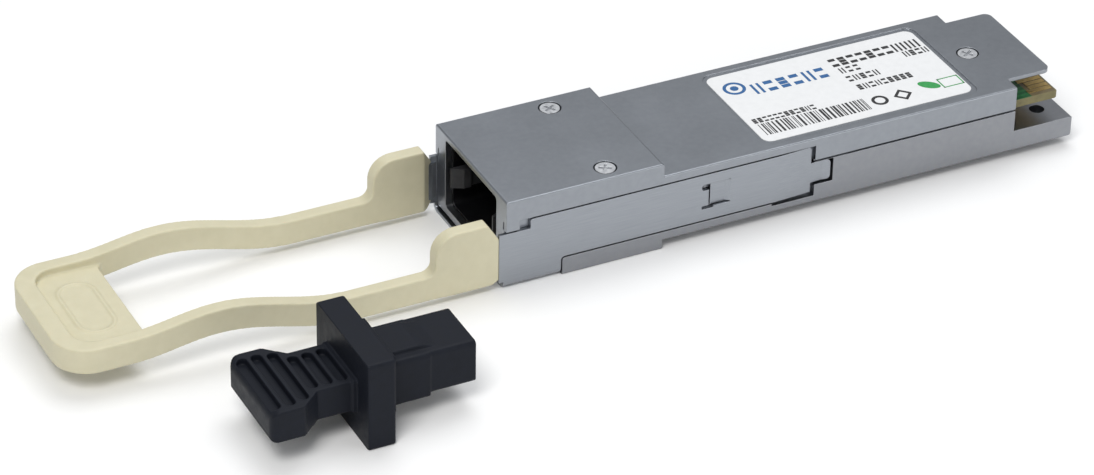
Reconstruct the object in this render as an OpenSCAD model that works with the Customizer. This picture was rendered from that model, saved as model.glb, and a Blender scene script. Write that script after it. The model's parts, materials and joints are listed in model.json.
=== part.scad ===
// Pluggable optical transceiver module with a multi-fibre port, a latch slider with a soft pull tab,
// and a rubber dust plug lying beside it. Millimetres.
// Frame: X = 0 at the nose's front face, +X towards the card edge, Y = 0 on the centre plane,
// Z = 0 at the nose's underside, +Z up.

/* [Case] */
// Width across the two side walls
case_w = 18.35; // [16:0.05:22.1]
// Length from the front face to the end of the tail
case_len = 72.75; // [64:0.05:88]
// Length of the raised nose
nose_len = 19.35; // [17.5:0.05:22]
// Height of the nose
nose_h = 11.15; // [10.9:0.05:13.4]
// Height of the rear body's top face
body_top_z = 9.55; // [9.4:0.05:10.4]
// Height of the rear body's underside
body_bottom_z = 1.15; // [0.6:0.05:1.3]
// Height of the seam between cover and housing
seam_z = 6.55; // [6.4:0.05:6.9]
// Width of the reveal line at the seam
seam_gap = 0.24; // [0.08:0.02:0.3]
// Thickness of the side walls
wall_t = 0.95; // [0.8:0.05:1.2]
// Thickness of the rear roof
roof_t = 0.9; // [0.7:0.05:1]
// Thickness of the floor
floor_t = 0.8; // [0.6:0.05:1]
// Length of the tail below the card edge
tail_len = 7.9; // [6:0.1:9.5]
// Height of the tail's top face
tail_top_z = 3.75; // [3:0.05:4.5]
// Radius of the two through holes in the tail
tail_hole_r = 0.9; // [0.6:0.05:1.2]
// Distance of the tail holes from the side faces
tail_hole_inset = 3.12; // [2.5:0.05:4]
// Distance of the tail holes from the tail's end
tail_hole_setback = 2.95; // [2:0.05:4]
// Length of the cover's tongue over the card edge
tongue_len = 5.75; // [4:0.05:6.5]
// Thickness of the cover's tongue
tongue_t = 0.45; // [0.3:0.05:0.8]
// Distance of the tongue's sides from the case's side faces
tongue_inset = 2.15; // [1.5:0.05:3]
// Radius of the case's long outer edges
edge_r = 0.2; // [0.1:0.05:0.5]

/* [Fibre port] */
// Width of the port opening
port_w = 13.2; // [12.9:0.05:14]
// Height of the port opening
port_h = 8.8; // [8.4:0.05:9.1]
// Height of the port's centre
port_z = 6.07; // [5.9:0.01:6.2]
// Depth of the receptacle's rear face behind the front face
port_depth = 11.2; // [10:0.1:11.4]
// How far the receptacle sits behind the front face
receptacle_recess = 0.8; // [0.4:0.1:1.5]
// Clearance between receptacle and port
receptacle_fit = 0.05; // [0.02:0.01:0.1]
// Width of the receptacle's cavity
cavity_w = 12.5; // [12.3:0.05:12.7]
// Height of the receptacle's cavity
cavity_h = 7.9; // [7.6:0.05:8]
// Thickness of the receptacle's rear wall
receptacle_back_t = 1.5; // [1.2:0.1:2]
// Width of the key slot in the receptacle's top
key_slot_w = 3.4; // [3:0.1:4]
// Height of a catch arm
hook_h = 2.5; // [2:0.1:3]
// Thickness of a catch arm
hook_t = 0.6; // [0.5:0.05:0.8]
// Half the distance between the two catch tips
hook_gap_half = 4.6; // [4.2:0.05:4.7]
// Distance of a catch arm's inner face from the centre plane
hook_arm_y = 4.95; // [4.75:0.05:5.1]
// Radius of the round root of a catch arm
hook_root_r = 0.45; // [0.35:0.05:0.5]
// Running clearance round the root
hook_root_fit = 0.05; // [0.02:0.01:0.1]

/* [Ferrule and fibres] */
// Width of the ferrule
ferrule_w = 6.4; // [6:0.1:7]
// Thickness of the ferrule
ferrule_t = 2.5; // [2.4:0.05:3]
// Length of the ferrule ahead of its shoulder
ferrule_nose_len = 2.3; // [2:0.1:3]
// Length of the ferrule's shoulder
ferrule_shoulder_len = 5.2; // [4:0.1:5.4]
// Step of the shoulder on every side
ferrule_step = 0.3; // [0.2:0.05:0.4]
// Radius of the guide pins
pin_r = 0.35; // [0.3:0.01:0.4]
// Half the distance between the guide pins
pin_half_pitch = 2.3; // [2.2:0.05:2.4]
// How far the guide pins stand out of the ferrule
pin_out = 1.9; // [1.5:0.1:2.2]
// Width of the fibre ribbon
ribbon_w = 3.1; // [3:0.05:3.3]
// Thickness of the fibre ribbon
ribbon_t = 0.3; // [0.25:0.01:0.35]

/* [Circuit board] */
// Thickness of the board
board_t = 1; // [0.8:0.05:1.2]
// Height of the board's underside
board_z = 6.2; // [6:0.05:6.3]
// Front edge of the board
board_x0 = 23.6; // [23:0.1:24.5]
// Where the narrow front of the board widens
board_step_x = 43; // [42.8:0.1:45]
// Distance of the board's end from the tail's end
board_setback = 1.6; // [1:0.1:2.5]
// Distance between neighbouring contacts
contact_pitch = 0.8; // [0.7:0.05:1]
// Width of a contact
contact_w = 0.6; // [0.4:0.01:0.65]
// Length of a long contact
contact_long = 3.1; // [2.5:0.1:3.5]
// Length of a short contact
contact_short = 2.5; // [2:0.1:2.9]
// Thickness of a contact
contact_t = 0.05; // [0.03:0.01:0.08]

/* [Latch slider] */
// Thickness of the slider's sheet
sheet_t = 0.4; // [0.3:0.05:0.45]
// Upper edge of the slider's side plates
slider_top_z = 8.38; // [8:0.05:8.5]
// Lower edge of the slider's side plates
slider_low_z = 2.42; // [2.2:0.05:2.8]
// Rear end of the side plates
slider_end_x = 38.2; // [36:0.1:39]
// Rear end of the strap under the nose
strap_end_x = 6.75; // [6:0.05:7.5]
// Height of the lowered front part of the side plates
slider_front_z = 7.2; // [7:0.05:7.4]
// Where the lowered front part ends
slider_step_x = 2.95; // [2.5:0.05:3.5]
// Clearance between the slider's inner face and its recess
slide_gap = 0.09; // [0.04:0.01:0.1]
// Clearance round the slider's outline
edge_gap = 0.18; // [0.1:0.01:0.3]
// How far the slider travels
slider_travel = 1.2; // [0.8:0.1:2.4]

/* [Return springs] */
// Outer radius of a spring's coil
spring_r = 0.65; // [0.5:0.05:0.7]
// Radius of the spring wire
spring_wire_r = 0.11; // [0.08:0.01:0.14]
// Number of turns
spring_turns = 11; // [8:1:14]
// Front end of the spring channel
channel_x0 = 14.4; // [14:0.1:16]
// Where the slider's lance pushes the spring
lance_x = 25.4; // [25:0.1:26]

/* [Pull tab] */
// Width of the pull tab beyond the case on both sides together
tab_extra_w = 0.05; // [0:0.05:0.4]
// Distance of the tab's far end from the case's front face
tab_reach = 51.5; // [45:0.1:62]
// Thickness of the tab's two arms
tab_arm_t = 1.7; // [1.5:0.05:2.2]
// Height of the arms
tab_arm_h = 3; // [2.4:0.05:3.3]
// Length of the gripping pad with its rim
tab_pad_len = 10; // [9:0.1:12]
// Depth of the pad below the rim
tab_pad_drop = 0.9; // [0.6:0.05:1.2]
// Width of the rim at the far end
tab_rim_w = 2.3; // [2:0.1:3]
// Gap between the tab and the nose
tab_gap = 0.85; // [0.6:0.05:1.2]

/* [Dust plug] */
// Thickness of the flange
plug_flange_t = 3.1; // [3:0.1:4]
// Width of the flange
plug_flange_w = 13.5; // [12.5:0.1:14]
// Height of the flange
plug_flange_h = 10.7; // [10:0.1:11.5]
// Length of the part that goes into the port
plug_insert_len = 10.7; // [9:0.1:10.8]
// Width of the part that goes into the port
plug_insert_w = 7.2; // [6.8:0.1:7.4]
// Height of the part that goes into the port
plug_insert_h = 5.8; // [5.4:0.1:6.2]
// Length of the grip
plug_grip_len = 10.5; // [10:0.1:12]
// Width of the grip's head
plug_head_w = 11.8; // [11:0.1:12.5]
// Width of the grip's neck
plug_neck_w = 7.7; // [7:0.1:8.4]
// Thickness of the grip
plug_grip_t = 3.7; // [3.2:0.1:4.5]
// Distance between neighbouring grip slots
plug_slot_pitch = 1.66; // [1.6:0.01:1.8]

/* [Hidden] */
$fn = 48;
eps = 0.01;
half_w = case_w / 2;
case_end_x = case_len - tail_len;
interior_half_w = half_w - wall_t;
interior_z0 = body_bottom_z + floor_t;
interior_z1 = body_top_z - roof_t;

// slider recess in the case's sides
recess_d = sheet_t + slide_gap;
strap_room = 0.8;
strap_bend_r = 1;
channel_z = 5.3;
channel_half_h = 0.83;
channel_y = half_w - recess_d - 1.6;
front_interior_half_w = channel_y - 0.5;
// the recess starts where the slider's step comes to when it is pulled out
recess_x0 = slider_step_x - slider_travel - 0.1;
plate_corner_r = 0.45;
// slit in the cover's front face beside the slider
slit_in = 0.6;
slit_w = 0.25;
slit_len = 1.3;
// how far the plates' rear ends are bent inwards, and the narrow tab at the very end
end_inset = 0.35;
end_low_gap = 0.45;
end_tab_len = 2.5;
end_tab_z0 = 3.6;
end_tab_z1 = 6.2;
end_tab_r = 0.5;
latch_pocket_x1 = slider_end_x + end_tab_len + 0.25;
// lance: a panel pressed in from the plate, with a finger that reaches the spring
lance_z0 = 4.2;
lance_z1 = 7;
lance_slit = 0.1;
lance_in = 0.35;
lance_flat = 1.8;
lance_len = 2.4;
lance_slot = 0.35;
lance_side = 1.2;
lance_side_z = 6.35;
lance_low_slot = 0.3;
lance_floor = half_w - lance_in - sheet_t - 0.1;
finger_half_h = 0.7;
// outer corners and edges of the case halves
plan_corner_r = 0.15;
nose_front_r = 0.25;
nose_rear_r = 0.3;
nose_low_r = 0.4;
tail_low_r = 0.6;
tail_bevel = 0.15;

// wall at the rear end, with a slot for the board
end_wall_t = 1.5;

// screws
screw_head_r = 1.15;
screw_head_h = 0.7;
socket_len = 1.5;
socket_w = 0.34;
socket_d = 0.38;
counterbore_r = 1.33;
counterbore_d = 0.75;
shank_r = 0.68;
thread_r = 0.7;
clear_r = 0.85;
nose_screw_x = 13.1;
nose_screw_y = half_w - 2.22;
rear_screw_x = case_end_x - 1.2;
boss_r = 1.2;
screw_low_z = 2.8;
boss_x1 = nose_screw_x + 2.1;
boss_y = nose_screw_y - 1.95;

// label
label_x0 = 33;
label_x1 = rear_screw_x - 3.5;
label_half_w = half_w - 1.65;
label_t = 0.08;
label_recess = 0.12;
label_r = 1.1;

// receptacle and ferrule
receptacle_w = port_w - 2 * receptacle_fit;
receptacle_h = port_h - 2 * receptacle_fit;
cavity_x1 = port_depth - receptacle_back_t;
rib_x0 = port_depth - 3.2;
rib_len = 1.2;
rib_out = 0.35;
rib_half_h = 3;
ferrule_x0 = port_depth - ferrule_nose_len;
shoulder_x0 = port_depth;
ferrule_x1 = shoulder_x0 + ferrule_shoulder_len;
shoulder_w = ferrule_w + 2 * ferrule_step;
shoulder_t = ferrule_t + 2 * ferrule_step;
ferrule_fit = 0.04;
boot_len = 1.6;
clamp_t = 0.7;
hook_pivot_x = cavity_x1 + 0.35;
hook_pivot_y = hook_arm_y + hook_t / 2;
hook_tip_x = 0.1;
pin_held_r = pin_r - 0.01;
pin_fit = 0.01;
pin_end_x = ferrule_x1 - 0.8;

// board
board_x1 = case_len - board_setback;
board_gap = 0.05;
board_half_w = interior_half_w - board_gap;
board_front_half_w = front_interior_half_w - 0.15;
board_top_z = board_z + board_t;
contact_margin = 0.7;
contact_count = floor((2 * board_half_w - 2 * contact_margin) / contact_pitch) + 1;
contact_end_x = board_x1 - 0.5;

// optics on the board
lens_x0 = board_x0 + 1.9;
lens_len = 5.5;
lens_w = 6.4;
lens_h = 1.3;
die_h = 0.15;
ribbon_end_z = board_top_z + 0.85;
chip_x = lens_x0 + lens_len + 0.8;
chip_h = 0.7;
chip_w = 2.5;

// pull tab
tab_half_w = half_w + tab_extra_w / 2;
tab_x0 = -tab_reach;
tab_inner_y = tab_half_w - tab_arm_t;
tab_corner_r = 4.1;
tab_inner_r = 1;
ring_x0 = 6.2;
ring_x1 = 1.8;
ring_half = 5;
ring_line = 0.3;
ring_h = 0.16;
tab_plate_x0 = -8.5;
tab_plate_z0 = 0.95;
tab_plate_z1 = 8.85;
arm_mid_z = 2.55;
crest_mid_z = 5.3;
pad_mid_z = 4.2;
crest_x = tab_x0 + 17.7;
rise_x = crest_x + 15.5;
fall_x = crest_x - 10;
pad_x1 = tab_x0 + tab_pad_len;
pad_top_z = pad_mid_z + tab_arm_h / 2 - tab_pad_drop;
tab_z_fit = 0.2;
lock_hole_r = 0.8;
tongue_in = 0.45;
jog_x1 = -0.2;
tongue_x0 = -7.2;
tongue_z0 = 1.8;
tongue_z1 = 6.5;

// dust plug, built along its own axis and then laid down beside the module
plug_x = -23;
plug_y = -half_w - 14.77;
plug_z = plug_flange_h / 2;
plug_r = 0.35;
plug_slot_r = 0.57;
plug_slot_d = 0.8;
plug_slot_x0 = 1;
grip_top_r = 1.2;
grip_low_r = 0.4;
grip_head_len = 3.7;
grip_waist_x = 6;
collar_out = 0.15;
collar_x0 = 0.55;
collar_x1 = 0.15;
parting_z = 0.65;
parting_w = 0.14;
insert_step_x = 5.4;
insert_proud = 0.12;
key_half = 2.45;
key_out = 0.25;
key_flat_len = 4.6;
key_len = 6.6;

// ---- shared shapes ----

// A block given by its low and high corners
module block(low, high) translate(low) cube(high - low);

// A block that is symmetric about the centre plane
module centred(x0, x1, half, z0, z1) block([x0, -half, z0], [x1, half, z1]);

// The same shape on both sides of the centre plane
module both_sides() {
    children();
    mirror([0, 1, 0]) children();
}

// A rectangle from corner a to corner b with round corners
module round_rect(a, b, r) {
    translate([a[0] + r, a[1]]) square([b[0] - a[0] - 2 * r, b[1] - a[1]]);
    translate([a[0], a[1] + r]) square([b[0] - a[0], b[1] - a[1] - 2 * r]);
    for (x = [a[0] + r, b[0] - r])
        for (y = [a[1] + r, b[1] - r])
            translate([x, y]) circle(r);
}

// A plate with round corners seen from above, symmetric about the centre plane
module round_plate(x0, x1, half, z0, z1, r)
    translate([0, 0, z0]) linear_extrude(z1 - z0) round_rect([x0, -half], [x1, half], r);

// A profile in Y and Z carried along X
module along_x(x0, x1) translate([x0, 0, 0]) rotate([90, 0, 90]) linear_extrude(x1 - x0) children();

// A profile in X and Z carried along Y, from -half to half
module across_y(half) translate([0, half, 0]) rotate([90, 0, 0]) linear_extrude(2 * half) children();

// An upright cylinder
module post(x, y, z0, z1, r) translate([x, y, z0]) cylinder(h = z1 - z0, r = r);

// Points along an arc round (cx, cz), from angle a0 to a1
function arc(cx, cz, r, a0, a1, n = 10) =
    [for (i = [0:n]) [cx + r * cos(a0 + (a1 - a0) * i / n), cz + r * sin(a0 + (a1 - a0) * i / n)]];

// The three places of the cover screws
module at_screws() {
    both_sides() translate([nose_screw_x, nose_screw_y, nose_h]) children();
    translate([rear_screw_x, 0, body_top_z]) children();
}

// ---- case ----

// Side outline of the slider's recess: the slider's own outline with the clearance all round
module recess_side() polygon(concat(
    [[-1, -1], [strap_end_x + edge_gap, -1]],
    arc(strap_end_x + plate_corner_r, slider_low_z - plate_corner_r, plate_corner_r - edge_gap, 180, 90, 6),
    [[slider_end_x + 0.4, slider_low_z - edge_gap], [slider_end_x + 0.4, slider_top_z + edge_gap],
     [recess_x0, slider_top_z + edge_gap], [recess_x0, slider_front_z + edge_gap],
     [-1, slider_front_z + edge_gap]]));

// Everything that is cut from the sides of both case halves for the slider
module slider_recess() {
    both_sides() {
        translate([0, half_w + 1, 0]) rotate([90, 0, 0]) linear_extrude(recess_d + 1) recess_side();
        block([slider_end_x - 5, half_w - recess_d - end_inset, slider_low_z - end_low_gap],
              [slider_end_x + 0.4, half_w + 1, slider_top_z + edge_gap]);
        block([slider_end_x - 5 - slider_travel, half_w - recess_d - end_inset, slider_low_z - edge_gap],
              [slider_end_x, half_w + 1, slider_top_z + edge_gap]);
        block([slider_end_x, half_w - recess_d - 0.6, end_tab_z0 - 0.2],
              [latch_pocket_x1, half_w + 1, end_tab_z1 + 0.2]);
        block([lance_x - slider_travel - 0.25, lance_floor, lance_z0 - lance_slit],
              [lance_x + lance_len + 0.1, half_w, lance_z1 + lance_slit]);
        block([channel_x0, channel_y, channel_z - channel_half_h],
              [lance_x + sheet_t + 0.2, half_w, channel_z + channel_half_h]);
    }
    block([-1, -half_w - 1, -1], [strap_end_x + edge_gap, half_w + 1, strap_room]);
}

// The reveal line along the outside of the seam
module seam_reveal() both_sides()
    block([-1, half_w - 0.4, seam_z - seam_gap / 2], [case_len + 1, half_w + 1, seam_z + seam_gap / 2]);

// The port opening, with round lower corners
module port_cut() {
    along_x(-1, port_depth)
        round_rect([-port_w / 2, port_z - port_h / 2], [port_w / 2, port_z + port_h / 2], 0.5);
    // groove for the receptacle's ribs
    centred(rib_x0 - receptacle_fit, rib_x0 + rib_len + receptacle_fit, port_w / 2 + rib_out,
            port_z - rib_half_h - receptacle_fit, port_z + rib_half_h + receptacle_fit);
}

// The room inside the case: between the screw bosses, behind them, and along the board
module interior() {
    centred(port_depth - eps, boss_x1 + eps, boss_y, interior_z0, nose_h - 0.9);
    centred(boss_x1, nose_len - 0.9, front_interior_half_w, interior_z0, nose_h - 0.9);
    centred(boss_x1, board_step_x, front_interior_half_w, interior_z0, interior_z1);
    centred(board_step_x - 0.2, case_end_x - end_wall_t, interior_half_w, interior_z0, interior_z1);
    centred(case_end_x - end_wall_t - 1, case_end_x + 1, interior_half_w, board_z, board_top_z);
}

// Side outline of the cover: nose, step, rear roof
module cover_side() polygon(concat(
    [[0, seam_z]],
    arc(nose_front_r, nose_h - nose_front_r, nose_front_r, 180, 90, 5),
    arc(nose_len - nose_rear_r, nose_h - nose_rear_r, nose_rear_r, 90, 0, 5),
    [[nose_len, body_top_z], [case_end_x, body_top_z], [case_end_x, seam_z]]));

// Cross-section of a case half with its two long edges round
module case_section(z0, z1) round_rect([-half_w, z0], [half_w, z1], edge_r);

module top_cover() color([0.62, 0.64, 0.67]) difference() {
    union() {
        difference() {
            intersection() {
                across_y(half_w + 1) cover_side();
                union() {
                    along_x(-1, nose_len + eps) case_section(seam_z - 2, nose_h);
                    along_x(nose_len, case_end_x + 1) case_section(seam_z - 2, body_top_z);
                }
            }
            port_cut();
            interior();
            slider_recess();
            seam_reveal();
            both_sides() block([-1, half_w - slit_in - slit_w, slider_front_z + edge_gap],
                               [slit_len, half_w - slit_in, slider_top_z]);
            round_plate(label_x0 - 0.3, label_x1 + 0.5, label_half_w + 0.6,
                        body_top_z - label_recess, body_top_z + 1, label_r + 0.2);
        }
        // boss under the rear screw, down to the board
        post(rear_screw_x, 0, board_top_z, interior_z1 + 0.2, boss_r);
        // tongue over the card edge
        round_plate(case_end_x - 1.2, case_end_x + tongue_len, half_w - tongue_inset,
                    body_top_z - tongue_t, body_top_z, 0.9);
        // ribs that hold the board down
        both_sides() for (x = [board_step_x + 2, case_end_x - 5])
            block([x, interior_half_w - 0.8, board_top_z],
                  [x + 1.5, interior_half_w + 0.1, interior_z1 + 0.1]);
    }
    at_screws() {
        translate([0, 0, -counterbore_d]) cylinder(h = 2, r = counterbore_r);
        translate([0, 0, seam_z - nose_h - 1]) cylinder(h = nose_h - seam_z + 1, r = clear_r);
    }
}

// Side outline of the housing: stepped underside, seam, tail
module housing_side() polygon(concat(
    [[0, seam_z], [0, 0]],
    arc(nose_len - nose_low_r, nose_low_r, nose_low_r, -90, 0, 5),
    [[nose_len, body_bottom_z]],
    arc(case_len - tail_low_r, body_bottom_z + tail_low_r, tail_low_r, -90, 0, 6),
    [[case_len, tail_top_z - tail_bevel], [case_len - tail_bevel, tail_top_z], [case_end_x, tail_top_z],
     [case_end_x, seam_z]]));

module bottom_housing() color([0.64, 0.66, 0.69]) difference() {
    union() {
        difference() {
            intersection() {
                across_y(half_w + 1) housing_side();
                union() {
                    along_x(-1, nose_len + eps) case_section(0, seam_z + 2);
                    along_x(nose_len, case_len + 1) case_section(body_bottom_z, seam_z + 2);
                }
                round_plate(-1, case_len, half_w, -1, seam_z + 1, plan_corner_r);
            }
            port_cut();
            interior();
            slider_recess();
            seam_reveal();
        }
        // boss for the rear screw
        post(rear_screw_x, 0, interior_z0 - 0.1, board_z, boss_r);
        // ledges under the board
        both_sides() block([board_step_x + 1.5, interior_half_w - 0.75, interior_z0 - 0.1],
                           [case_end_x - 1, interior_half_w + 0.1, board_z]);
        // rest under the board's front
        centred(board_x0 + 0.4, board_x0 + 1.6, front_interior_half_w + 0.1, interior_z0 - 0.1, board_z);
    }
    post(rear_screw_x, 0, screw_low_z - 0.4, seam_z + 1, thread_r);
    both_sides() {
        post(nose_screw_x, nose_screw_y, screw_low_z - 0.4, seam_z + 1, thread_r);
        post(case_len - tail_hole_setback, half_w - tail_hole_inset, -1, tail_top_z + 1, tail_hole_r);
        // groove for the seam gasket
        block([board_step_x + 1, interior_half_w + 0.2, seam_z - 0.4],
              [case_end_x - 1, interior_half_w + 0.55, seam_z + 1]);
    }
}

// Flat head with a cross recess, and a plain shank
module screw(shank_len) {
    difference() {
        translate([0, 0, -counterbore_d]) cylinder(h = screw_head_h, r = screw_head_r);
        for (turn = [30, 120]) rotate(turn)
            translate([-socket_len / 2, -socket_w / 2, screw_head_h - counterbore_d - socket_d])
                cube([socket_len, socket_w, 1]);
    }
    translate([0, 0, -counterbore_d - shank_len]) cylinder(h = shank_len + eps, r = shank_r);
}

module cover_screws() color([0.78, 0.79, 0.8]) {
    both_sides() translate([nose_screw_x, nose_screw_y, nose_h]) screw(nose_h - counterbore_d - screw_low_z);
    translate([rear_screw_x, 0, body_top_z]) screw(body_top_z - counterbore_d - screw_low_z);
}

module label() color([0.95, 0.95, 0.94])
    round_plate(label_x0, label_x1, label_half_w, body_top_z - label_recess,
                body_top_z - label_recess + label_t, label_r);

module seam_gasket() color([0.3, 0.3, 0.32]) both_sides()
    block([board_step_x + 1.1, interior_half_w + 0.22, seam_z - 0.4],
          [case_end_x - 1.1, interior_half_w + 0.53, seam_z]);

// ---- latch slider ----

// Side outline of one slider plate
module plate_side() polygon(concat(
    [[-tab_gap, 0.9], [-0.3, 0.35], [-0.3, -1], [strap_end_x, -1]],
    arc(strap_end_x + plate_corner_r, slider_low_z - plate_corner_r, plate_corner_r, 180, 90, 6),
    [[slider_end_x, slider_low_z], [slider_end_x, end_tab_z0]],
    arc(slider_end_x + end_tab_len - end_tab_r, end_tab_z0 + end_tab_r, end_tab_r, -90, 0, 6),
    arc(slider_end_x + end_tab_len - end_tab_r, end_tab_z1 - end_tab_r, end_tab_r, 0, 90, 6),
    [[slider_end_x, end_tab_z1], [slider_end_x, slider_top_z - 0.3], [slider_end_x - 0.3, slider_top_z],
     [slider_step_x + 0.15, slider_top_z], [slider_step_x, slider_top_z - 0.15],
     [slider_step_x, slider_front_z], [-tab_gap, slider_front_z]]));

// Plan of one plate: straight, then bent inwards at the rear end
module plate_plan() polygon([
    [-tab_gap, half_w - sheet_t], [slider_end_x - 4.4, half_w - sheet_t],
    [slider_end_x - 1.4, half_w - sheet_t - 0.15], [slider_end_x + 1.5, half_w - sheet_t - end_inset],
    [slider_end_x + 2.7, half_w - sheet_t - 0.15], [slider_end_x + 2.7, half_w - 0.15],
    [slider_end_x + 1.5, half_w - end_inset], [slider_end_x - 1.4, half_w - 0.15],
    [slider_end_x - 4.4, half_w], [-tab_gap, half_w]]);

// Plan of the lance's panel: level with the plate at its rear end, pressed in along the rest
module panel_plan() polygon([
    [lance_x + lance_len + eps, half_w], [lance_x + lance_flat, half_w - lance_in],
    [lance_x, half_w - lance_in], [lance_x, half_w - lance_in - sheet_t],
    [lance_x + lance_flat, half_w - lance_in - sheet_t], [lance_x + lance_len + eps, half_w - sheet_t]]);

// Side outline of the window in the plate round the lance
module lance_window() {
    translate([lance_x - lance_slot, lance_z0 - lance_slit])
        square([lance_len + lance_slot, lance_z1 - lance_z0 + 2 * lance_slit]);
    round_rect([lance_x - lance_side, lance_side_z], [lance_x + 0.1, lance_z1 + lance_slit], 0.3);
    round_rect([lance_x - lance_side, lance_z0 - lance_low_slot],
               [lance_x + 0.3, lance_z0 + lance_slit], 0.15);
}

// Plan of the tongue that the pull tab is moulded round, jogged inwards from the plate
module tongue_plan() polygon([
    [jog_x1, half_w - sheet_t + eps], [jog_x1, half_w - sheet_t - 0.12],
    [-tab_gap, half_w - sheet_t - tongue_in], [tongue_x0, half_w - sheet_t - tongue_in],
    [tongue_x0, half_w - tongue_in], [-tab_gap, half_w - tongue_in],
    [-tab_gap + 0.05, half_w - sheet_t + eps]]);

module tongue() difference() {
    translate([0, 0, tongue_z0]) linear_extrude(tongue_z1 - tongue_z0) tongue_plan();
    for (z = [tongue_z0 + 1.3, tongue_z1 - 1.3])
        translate([tongue_x0 + 1.9, half_w + 1, z]) rotate([90, 0, 0])
            cylinder(h = 3, r = lock_hole_r);
}

module latch_slider() color([0.7, 0.72, 0.74]) {
    both_sides() {
        difference() {
            intersection() {
                translate([0, 0, strap_bend_r]) linear_extrude(slider_top_z - strap_bend_r) plate_plan();
                across_y(half_w + 1) plate_side();
            }
            across_y(half_w + 1) lance_window();
        }
        translate([0, 0, lance_z0]) linear_extrude(lance_z1 - lance_z0) panel_plan();
        block([lance_x, channel_y + 0.2, channel_z - finger_half_h],
              [lance_x + sheet_t, half_w - lance_in - sheet_t + eps, channel_z + finger_half_h]);
        tongue();
    }
    // strap under the nose, with the two bends
    along_x(-0.3, strap_end_x) difference() {
        round_rect([-half_w, 0], [half_w, 4], strap_bend_r);
        round_rect([-half_w + sheet_t, sheet_t], [half_w - sheet_t, 5], strap_bend_r - sheet_t);
        translate([-half_w - 1, strap_bend_r + 0.1]) square([case_w + 2, 5]);
    }
}

// ---- pull tab ----

// Height of the arm's middle line at x: level, up to a crest, down to the pad
function wave(x, end_x) = (1 + cos(180 * (x - crest_x) / abs(end_x - crest_x))) / 2;
function mid_z(x) =
    x > rise_x ? arm_mid_z :
    x > crest_x ? arm_mid_z + (crest_mid_z - arm_mid_z) * wave(x, rise_x) :
    x > fall_x ? pad_mid_z + (crest_mid_z - pad_mid_z) * wave(x, fall_x) : pad_mid_z;

arm_steps = 36;
function arm_x(i) = tab_x0 + (rise_x + 1 - tab_x0) * i / arm_steps;

// Side outline of the whole tab: band of constant height that ends in the upright plate
module tab_side() {
    polygon(concat(
        [for (i = [0:arm_steps]) [arm_x(i), mid_z(arm_x(i)) + tab_arm_h / 2]],
        [[tab_plate_x0, arm_mid_z + tab_arm_h / 2], [tab_plate_x0, arm_mid_z - tab_arm_h / 2]],
        [for (i = [arm_steps:-1:0]) [arm_x(i), mid_z(arm_x(i)) - tab_arm_h / 2]]));
    polygon(concat(
        [[tab_plate_x0 - 1.1, arm_mid_z - tab_arm_h / 2], [-6, tab_plate_z0], [-1.6, tab_plate_z0],
         [-tab_gap, tab_plate_z0 + 0.5], [-tab_gap, 6.75], [-2.2, tab_plate_z1]],
        arc(tab_plate_x0 + 2.7, tab_plate_z1 - 2.7, 2.7, 90, 180),
        arc(tab_plate_x0 - 1.1, arm_mid_z + tab_arm_h / 2 + 1.1, 1.1, 0, -90, 6)));
}

// Plan of the tab: a long loop, open towards the module, with a solid pad at the far end
module tab_plan() difference() {
    union() {
        round_rect([tab_x0, -tab_half_w], [-tab_corner_r - 1, tab_half_w], tab_corner_r);
        translate([-2 * tab_corner_r - 4, -tab_half_w])
            square([2 * tab_corner_r + 4 - tab_gap, 2 * tab_half_w]);
    }
    round_rect([pad_x1, -tab_inner_y], [10, tab_inner_y], tab_inner_r);
    mirror_plan() polygon([[-2.15, tab_inner_y - 0.1], [-2.15, tab_inner_y],
                           [-tab_gap + 0.1, tab_inner_y + 1.15], [-tab_gap + 0.1, tab_inner_y - 0.1]]);
}

module mirror_plan() {
    children();
    mirror([0, 1]) children();
}

module pull_tab() color([0.85, 0.83, 0.72]) {
    difference() {
        intersection() {
            across_y(tab_half_w + 1) tab_side();
            linear_extrude(nose_h) tab_plan();
        }
        // recess over the pad
        translate([0, 0, pad_top_z]) linear_extrude(5)
            round_rect([tab_x0 + tab_rim_w, -tab_inner_y], [pad_x1 + 5, tab_inner_y], 2.5);
        // pockets filled by the slider's tongues
        both_sides() tongue();
    }
    // raised oval outline on the pad
    translate([0, 0, pad_top_z - eps]) linear_extrude(ring_h + eps) difference() {
        round_rect([pad_x1 - ring_x0, -ring_half], [pad_x1 - ring_x1, ring_half], 2.15);
        round_rect([pad_x1 - ring_x0 + ring_line, -ring_half + ring_line],
                   [pad_x1 - ring_x1 - ring_line, ring_half - ring_line], 1.85);
    }
}

// ---- return springs ----

spring_ring = 6;
spring_steps = 12;

// Place along X after t turns: the first and last turns lie close against their neighbours
function coil_x(t, x0, x1, wire_r, turns) = let(dead = 2.1 * wire_r)
    t < 1 ? x0 + dead * t :
    t > turns - 1 ? x1 - dead * (turns - t) :
    x0 + dead + (x1 - x0 - 2 * dead) * (t - 1) / (turns - 2);

// A coil of round wire along X, swept as rings of points
module coil(x0, x1, r, wire_r, turns) {
    n = turns * spring_steps;
    rings = [for (i = [0:n]) let(a = 360 * i / spring_steps, x = coil_x(i / spring_steps, x0, x1, wire_r, turns))
        for (k = [0:spring_ring - 1]) let(b = 360 * k / spring_ring, q = r + wire_r * cos(b))
            [x + wire_r * sin(b), q * cos(a), q * sin(a)]];
    last = n * spring_ring;
    polyhedron(rings, concat(
        [[for (k = [0:spring_ring - 1]) k]],
        [for (i = [0:n - 1]) for (k = [0:spring_ring - 1]) let(m = (k + 1) % spring_ring)
            [i * spring_ring + k, (i + 1) * spring_ring + k, (i + 1) * spring_ring + m, i * spring_ring + m]],
        [[for (k = [spring_ring - 1:-1:0]) last + k]]));
}

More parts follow.
